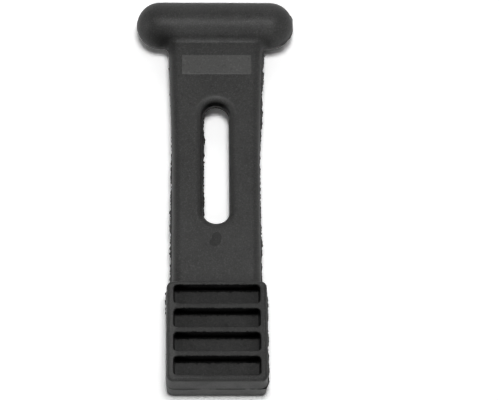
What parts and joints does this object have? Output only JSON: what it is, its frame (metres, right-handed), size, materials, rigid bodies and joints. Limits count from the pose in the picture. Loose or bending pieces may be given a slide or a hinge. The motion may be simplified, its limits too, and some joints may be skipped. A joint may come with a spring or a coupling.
{
  "type": "rubber t draw latch",
  "caption": "Moulded rubber draw latch strap with a round T-bar head, a long keeper slot and a thick grip pad with finger pockets.",
  "frame": {"origin": "centre of the footprint, on the surface the latch lies on", "axes": "+Y along the strap towards the T-bar, +Z out of the pocketed front face, +X across the strap"},
  "size_m": [0.05, 0.13, 0.015],
  "materials": {
    "rubber": "matte black moulded rubber"
  },
  "bodies": {
    "root": {"latch_strap": "rubber"}
  },
  "joints": []
}
